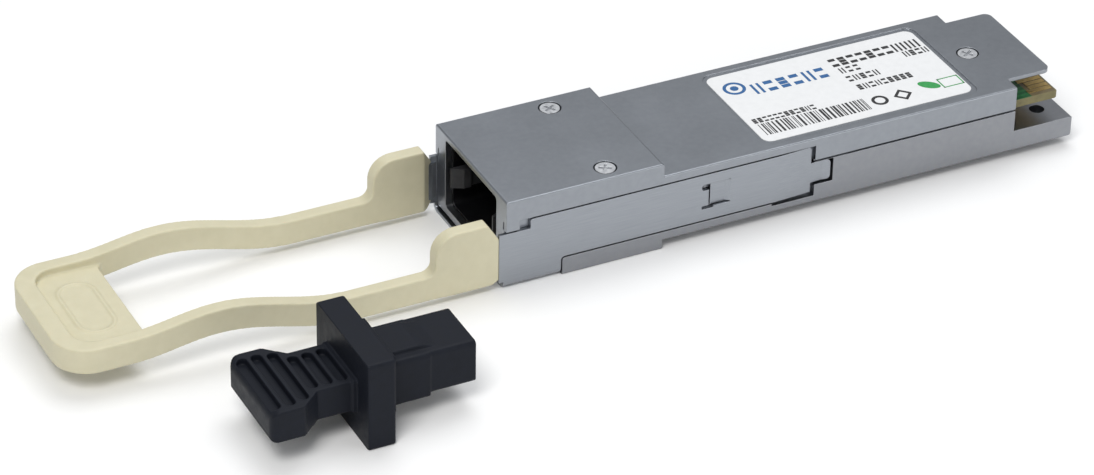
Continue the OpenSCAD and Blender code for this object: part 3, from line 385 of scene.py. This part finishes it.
def makePlastic(name, f):
    material, tree, shader, where = startMaterial(name)
    grain = placeGroup(tree, grainGroup, Vector=where, **{"Grain Size": f["grain"] * mm})
    wear = placeGroup(tree, wearGroup, Vector=where, Radius=finish["plasticEdge"] * mm,
                      Amount=finish["plasticWear"])
    body = mixColour(tree, grain.outputs["Mask"], linear(*f["low"]), linear(*f["high"]))
    worn = mixColour(tree, wear.outputs["Mask"], body, linear(*f["edge"]))
    tree.links.new(worn, shader.inputs["Base Color"])
    tree.links.new(band(tree, grain.outputs["Mask"], 0.0, 1.0, *f["rough"]), shader.inputs["Roughness"])
    depth = f["depth"] * mm
    addBump(tree, shader, f["bump"], depth, grain.outputs["Height"], wear.outputs["Normal"])
    shader.inputs["Specular IOR Level"].default_value = f["shine"]
    shader.inputs["Coat Weight"].default_value = f["coat"]
    shader.inputs["Subsurface Weight"].default_value = f["glow"]
    shader.inputs["Subsurface Radius"].default_value = tuple(r * mm for r in finish["glowReach"])
    shader.inputs["Subsurface Scale"].default_value = 1.0
    return material


# board: colours (sRGB), where the mask ends and how fine the grain is in mm, tracks per metre
boardLook = {"mask": (22, 84, 46), "track": (36, 108, 60), "bareLow": (92, 80, 52), "bareHigh": (108, 96, 64),
             "cutLow": (104, 97, 60), "cutHigh": (122, 114, 74), "maskEnd": 67.6, "maskFade": 0.02,
             "grain": 0.12, "trackScale": 400.0, "trackBend": 2.0, "trackDepth": 0.03, "coat": 0.2}


# green mask over tracks, ending before the contacts; bare laminate beyond it and on the cut edges
def makeBoardFinish(f):
    material, tree, shader, where = startMaterial("boardMask")
    grain = placeGroup(tree, grainGroup, Vector=where, **{"Grain Size": f["grain"] * mm})
    along = put(tree, "ShaderNodeSeparateXYZ", {0: where}).outputs["X"]
    waves = {"Vector": where, "Scale": f["trackScale"], "Distortion": f["trackBend"], "Detail": 1.0,
             "Detail Scale": 0.4}
    tracks = put(tree, "ShaderNodeTexWave", waves, bands_direction="Y").outputs["Fac"]
    copper = band(tree, tracks, 0.55, 0.62)
    normal = put(tree, "ShaderNodeNewGeometry").outputs["Normal"]
    level = put(tree, "ShaderNodeMath", {0: put(tree, "ShaderNodeSeparateXYZ", {0: normal}).outputs["Z"]},
                operation="ABSOLUTE").outputs[0]
    flat = band(tree, level, 0.6, 0.9)
    masked = mixColour(tree, copper, linear(*f["mask"]), linear(*f["track"]))
    bare = mixColour(tree, grain.outputs["Mask"], linear(*f["bareLow"]), linear(*f["bareHigh"]))
    cut = mixColour(tree, grain.outputs["Mask"], linear(*f["cutLow"]), linear(*f["cutHigh"]))
    past = band(tree, along, (f["maskEnd"] - f["maskFade"]) * mm, (f["maskEnd"] + f["maskFade"]) * mm)
    face = mixColour(tree, past, masked, bare)
    tree.links.new(mixColour(tree, flat, cut, face), shader.inputs["Base Color"])
    tree.links.new(band(tree, flat, 0.0, 1.0, 0.6, 0.32), shader.inputs["Roughness"])
    addBump(tree, shader, 0.3, f["trackDepth"] * mm, copper)
    shader.inputs["Coat Weight"].default_value = f["coat"]
    return material


looks = {name: makeMetal(name, f) for name, f in metals.items()}
looks.update({name: makePlastic(name, f) for name, f in plastics.items()})
looks["sheetMetal"] = makeSheetMetal("sheetMetal", sheet)
looks["boardMask"] = makeBoardFinish(boardLook)

nodeLooks = {
    "top_cover": "coverMetalPaintedLight", "bottom_housing": "caseMetal", "cover_screws": "screwMetal",
    "label": "labelFilm", "seam_gasket": "gasketRubber", "latch_slider": "sheetMetal",
    "pull_tab": "tabPlastic", "return_spring_left": "springMetal", "return_spring_right": "springMetal",
    "mpo_receptacle": "portPlastic", "mpo_hook_left": "hookPlastic", "mpo_hook_right": "hookPlastic",
    "mt_ferrule": "ferrulePlastic", "guide_pins": "screwMetal", "ferrule_boot": "bootRubber",
    "ferrule_clamp": "sheetMetal", "fibre_ribbon": "ribbonCoat", "lens_block": "lensAmber",
    "laser_array": "dieSilicon", "photodiode_array": "dieSilicon", "laser_driver_chip": "chipEpoxy",
    "receiver_chip": "chipEpoxy", "controller_chip": "chipEpoxy", "memory_chip": "chipEpoxy",
    "power_inductors": "ferriteBody", "chip_capacitors": "ceramicBody", "circuit_board": "boardMask",
    "contact_pads_top": "goldPlate", "contact_pads_bottom": "goldPlate", "thermal_pad": "padRubber",
    "dust_plug": "plugRubber",
}
for nodeName, look in nodeLooks.items():
    data = nodes[nodeName].data
    if not data.materials:
        data.materials.append(looks[look])
    for index in range(len(data.materials)):
        data.materials[index] = looks[look]
print("materials placed on", len(nodeLooks), "solids")


# mesh helpers
def meshPiece(name, points, faces, look, smooth=False):  # points in mm
    mesh = bpy.data.meshes.new(name)
    mesh.from_pydata((np.asarray(points) * mm).tolist(), [], [list(f) for f in faces])
    mesh.update()
    mesh.materials.append(looks[look])
    mesh.polygons.foreach_set("use_smooth", np.full(len(mesh.polygons), smooth))
    obj = bpy.data.objects.new(name, mesh)
    scene.collection.objects.link(obj)
    return obj


def blocks(lows, highs):  # many blocks at once, each corner picked from its low or its high point
    lows, highs = np.asarray(lows, float), np.asarray(highs, float)
    corner = np.arange(8)
    pick = np.stack([(corner // 1) % 2, (corner // 2) % 2, (corner // 4) % 2], 1)
    points = lows[:, None, :] * (1 - pick) + highs[:, None, :] * pick
    sides = np.array([[0, 2, 3, 1], [4, 5, 7, 6], [0, 1, 5, 4], [1, 3, 7, 5], [3, 2, 6, 7], [2, 0, 4, 6]])
    faces = sides[None] + 8 * np.arange(len(lows))[:, None, None]
    return points.reshape(-1, 3), faces.reshape(-1, 4)


def prism(outline, z0, z1):  # a flat plate over a closed outline that runs counterclockwise
    outline = np.asarray(outline, float)
    count = len(outline)
    low = np.column_stack([outline, np.full(count, z0)])
    high = np.column_stack([outline, np.full(count, z1)])
    ring = np.arange(count)
    after = (ring + 1) % count
    walls = np.stack([ring, after, after + count, ring + count], 1).tolist()
    return np.concatenate([low, high]), [ring[::-1].tolist(), (ring + count).tolist(), *walls]


# soft mouldings: a merged copy of the solid, remeshed evenly, with its corners smoothed round
soft = {
    "pull_tab": {"name": "pullTabMoulding", "cell": 0.11, "rounds": 8, "blend": 0.5, "keep": 0.5,
                 "slot": "tab_plastic"},
    "dust_plug": {"name": "dustPlugMoulding", "cell": 0.10, "rounds": 5, "blend": 0.5, "keep": 0.5,
                  "slot": "plug_rubber"},
}
mergeReach = 0.002  # mm


def moulded(node, values):
    source = nodes[node]
    mesh = source.data.copy()
    mesh.name = values["name"]
    b = bmesh.new()
    b.from_mesh(mesh)
    bmesh.ops.remove_doubles(b, verts=b.verts, dist=mergeReach * mm)
    b.to_mesh(mesh)
    b.free()
    obj = bpy.data.objects.new(values["name"], mesh)
    scene.collection.objects.link(obj)
    even = obj.modifiers.new("evenSkin", "REMESH")
    even.mode = "VOXEL"
    even.voxel_size = values["cell"] * mm
    even.use_smooth_shade = True
    smooth = obj.modifiers.new("roundCorners", "SMOOTH")
    smooth.factor = values["blend"]
    smooth.iterations = values["rounds"]
    thin = obj.modifiers.new("fewerFaces", "DECIMATE")
    thin.ratio = values["keep"]
    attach(obj, source["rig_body"])
    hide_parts(node)
    return obj


for nodeName, values in soft.items():
    moulded(nodeName, values)
print("soft mouldings made")

# return springs: round wire swept along a helix, a ring of points round each place of the helix, with the
# first and last turns close together
springs = {"turns": 11, "wire": 0.11, "perTurn": 24, "around": 10, "closeTurn": 2.1, "travel": 1.2}


def makeSpring(name, node, f):
    low, high = (np.array(p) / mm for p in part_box(node))
    wire, turns, around = f["wire"], f["turns"], f["around"]
    radius = (high[2] - low[2]) / 2 - wire
    t = np.linspace(0, turns, turns * f["perTurn"] + 1)
    first, last = low[0] + wire, high[0] - wire
    close = f["closeTurn"] * wire
    x = np.interp(t, [0, 1, turns - 1, turns], [first, first + close, last - close, last])[:, None]
    turn = (2 * np.pi * t)[:, None]
    wireTurn = np.linspace(0, 2 * np.pi, around, endpoint=False)
    out = radius + wire * np.cos(wireTurn)
    points = np.stack([x + wire * np.sin(wireTurn), out * np.cos(turn), out * np.sin(turn)], 2).reshape(-1, 3)
    points += [0, (low[1] + high[1]) / 2, (low[2] + high[2]) / 2]
    k = np.arange(around)
    after = (k + 1) % around
    start = (np.arange(len(t) - 1) * around)[:, None]
    corners = [start + k, start + after, start + around + after, start + around + k]
    quads = np.stack(corners, 2).reshape(-1, 4)
    ends = [k[::-1].tolist(), (k + (len(t) - 1) * around).tolist()]
    obj = meshPiece(name, points, quads.tolist() + ends, "springMetal", smooth=True)
    b = bmesh.new()
    b.from_mesh(obj.data)
    bmesh.ops.recalc_face_normals(b, faces=b.faces)
    b.to_mesh(obj.data)
    b.free()
    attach(obj, "case")
    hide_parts(node)
    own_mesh(obj)


makeSpring("returnSpringLeft", "return_spring_left", springs)
makeSpring("returnSpringRight", "return_spring_right", springs)
print("springs made")

# fibre ends: a row of small domes on the ferrule's front face, each a half sphere flattened to a lens
fibres = {"count": 12, "pitch": 0.25, "radius": 0.055, "dome": 0.02, "out": 0.001, "around": 16, "rings": 4}


def makeFibreEnds(f):
    low, high = (np.array(p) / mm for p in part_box("mt_ferrule"))
    turn = np.linspace(0, 2 * np.pi, f["around"], endpoint=False)
    lift = np.linspace(0, np.pi / 2, f["rings"] + 1)[:-1]
    radius = (f["radius"] * np.cos(lift))[:, None]
    x = np.broadcast_to((-f["dome"] * np.sin(lift))[:, None], (f["rings"], f["around"]))
    dome = np.stack([x, radius * np.cos(turn), radius * np.sin(turn)], 2).reshape(-1, 3)
    dome = np.concatenate([dome, [[-f["dome"], 0, 0]]])
    k = np.arange(f["around"])
    after = (k + 1) % f["around"]
    quads = [np.stack([k, k + f["around"], after + f["around"], after], 1) + r * f["around"]
             for r in range(f["rings"] - 1)]
    last = (f["rings"] - 1) * f["around"]
    tip = np.full(f["around"], len(dome) - 1)
    caps = np.stack([k + last, tip, tip, after + last], 1)
    faces = [list(dict.fromkeys(q)) for q in np.concatenate([*quads, caps]).tolist()]
    points, allFaces = [], []
    for i in range(f["count"]):
        y = (i - (f["count"] - 1) / 2) * f["pitch"]
        allFaces += [[v + i * len(dome) for v in q] for q in faces]
        points.append(dome + [low[0] - f["out"], y, (low[2] + high[2]) / 2])
    obj = meshPiece("fibreEnds", np.concatenate(points), allFaces, "fibreGlass", smooth=True)
    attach(obj, "case")


makeFibreEnds(fibres)
print("fibre ends made")

# label print: rows of plain bars, a bar code and plain marks, none of them a letter; mm in the frame
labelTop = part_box("label")[1][2] / mm
chance = np.random.default_rng(7)
ink = {"depth": 0.012, "sink": 0.01, "stroke": 0.3, "gap": 0.17, "lean": 0.5, "ovalPoints": 40}
signRows = [
    # start x, end x, middle y, height
    (48.0, 59.6, 4.55, 1.75), (48.2, 50.7, 2.65, 1.2), (56.8, 59.9, 2.85, 1.2),
    (48.1, 52.2, 0.7, 1.2), (48.3, 55.3, -1.4, 1.15), (33.8, 41.8, -3.0, 1.0),
]
titleRow = (37.2, 46.6, 3.2, 2.2)
barcode = {"x0": 33.95, "x1": 47.7, "y0": -6.2, "y1": -3.75, "widths": [0.1, 0.2, 0.3], "most": 150}
rings = {
    "labelRoundMark": {"x": 35.3, "y": 4.3, "radius": 1.35, "hole": 0.95, "around": 48, "look": "inkBlue"},
    "labelRing": {"x": 49.2, "y": -4.9, "radius": 1.0, "hole": 0.62, "around": 48, "look": "inkBlack"},
    "labelDiamond": {"x": 52.2, "y": -4.9, "radius": 1.2, "hole": 0.72, "around": 4, "look": "inkBlack"},
}
spots = {
    "labelDot": {"x": 35.3, "y": 4.3, "long": 0.5, "wide": 0.5, "turn": 0, "look": "inkBlue"},
    "labelOval": {"x": 56.0, "y": -4.3, "long": 1.35, "wide": 0.7, "turn": -38, "look": "inkGreen"},
}
frameBox = {"x0": 57.3, "x1": 60.0, "y0": -5.6, "y1": -3.6, "line": 0.16}


def inkBlocks(x0, x1, y0, y1):
    x0, x1, y0, y1 = (np.atleast_1d(np.asarray(v, float)) for v in (x0, x1, y0, y1))
    low = np.stack([x0, y0, np.full(len(x0), labelTop - ink["sink"])], 1)
    high = np.stack([x1, y1, np.full(len(x0), labelTop + ink["depth"])], 1)
    return low, high


# the bars a sign can have: left, right, bottom, middle, top, as shares of its width and height
def strokes(t):
    level = [[0, 1, 0, t], [0, 1, 0.5 - t / 2, 0.5 + t / 2], [0, 1, 1 - t, 1]]
    return np.array([[0, t, 0, 1], [1 - t, 1, 0, 1], *level])


# a sign is an upright pair, three level bars or a level pair
shapes = np.array([[1, 1, 0, 0, 0], [0, 0, 1, 1, 1], [0, 0, 1, 0, 1]])


def signRow(row):
    x0, x1, y, h = row
    width = ink["lean"] * h
    step = width + ink["gap"] * h
    count = int((x1 - x0 + step - width) // step)
    step = (x1 - x0 - width) / max(count - 1, 1)
    starts = x0 + step * np.arange(count)
    used = shapes[chance.integers(0, len(shapes), count)].astype(bool)
    s = strokes(ink["stroke"])
    left = (starts[:, None] + s[None, :, 0] * width)[used]
    right = (starts[:, None] + s[None, :, 1] * width)[used]
    low = np.broadcast_to(y - h / 2 + s[None, :, 2] * h, used.shape)[used]
    high = np.broadcast_to(y - h / 2 + s[None, :, 3] * h, used.shape)[used]
    return inkBlocks(left, right, low, high)


def barRow(b):  # alternating bars and spaces of one to three units
    widths = chance.choice(b["widths"], b["most"])
    starts = b["x0"] + np.concatenate([[0], np.cumsum(widths)[:-1]])
    keep = (np.arange(b["most"]) % 2 == 0) & (starts + widths < b["x1"])
    low, high = (np.full(keep.sum(), b[edge]) for edge in ("y0", "y1"))
    return inkBlocks(starts[keep], (starts + widths)[keep], low, high)


# a flat ring: inner and outer circle, low and high, joined by quads; with four sides it is a diamond
def ringBand(m):
    turn = np.linspace(0, 2 * np.pi, m["around"], endpoint=False)
    circle = np.column_stack([np.cos(turn), np.sin(turn)])
    low, high = labelTop - ink["sink"], labelTop + ink["depth"]
    loops = ((m["hole"], low), (m["radius"], low), (m["radius"], high), (m["hole"], high))
    points = [np.column_stack([circle * r + [m["x"], m["y"]], np.full(len(turn), z)]) for r, z in loops]
    k = np.arange(len(turn))
    after = (k + 1) % len(turn)
    base = np.array([0, 1, 2, 3]) * len(turn)
    faces = [np.stack([a + k, a + after, b + after, b + k], 1) for a, b in zip(base, np.roll(base, -1))]
    return np.concatenate(points), np.concatenate(faces)


def ovalOutline(m):  # an ellipse turned about its middle
    t = np.linspace(0, 2 * np.pi, ink["ovalPoints"], endpoint=False)
    turn = math.radians(m["turn"])
    along, across = m["long"] * np.cos(t), m["wide"] * np.sin(t)
    x = m["x"] + along * math.cos(turn) - across * math.sin(turn)
    return np.column_stack([x, m["y"] + along * math.sin(turn) + across * math.cos(turn)])


def printPiece(name, points, faces, look):
    obj = meshPiece(name, points, faces, look)
    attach(obj, "case")


def frameSides(f):  # four thin bars round a box
    return inkBlocks([f["x0"], f["x0"], f["x0"], f["x1"] - f["line"]],
                     [f["x1"], f["x1"], f["x0"] + f["line"], f["x1"]],
                     [f["y0"], f["y1"] - f["line"], f["y0"], f["y0"]],
                     [f["y0"] + f["line"], f["y1"], f["y1"], f["y1"]])


rows = [signRow(row) for row in signRows] + [barRow(barcode)]
blackBars = blocks(np.concatenate([r[0] for r in rows]), np.concatenate([r[1] for r in rows]))
printPiece("labelPrintBlack", *blackBars, "inkBlack")
printPiece("labelPrintBlue", *blocks(*signRow(titleRow)), "inkBlue")
printPiece("labelGreenFrame", *blocks(*frameSides(frameBox)), "inkGreen")
for name, mark in rings.items():
    printPiece(name, *ringBand(mark), mark["look"])
for name, mark in spots.items():
    outline = prism(ovalOutline(mark), labelTop - ink["sink"], labelTop + ink["depth"])
    printPiece(name, *outline, mark["look"])
print("label printed")
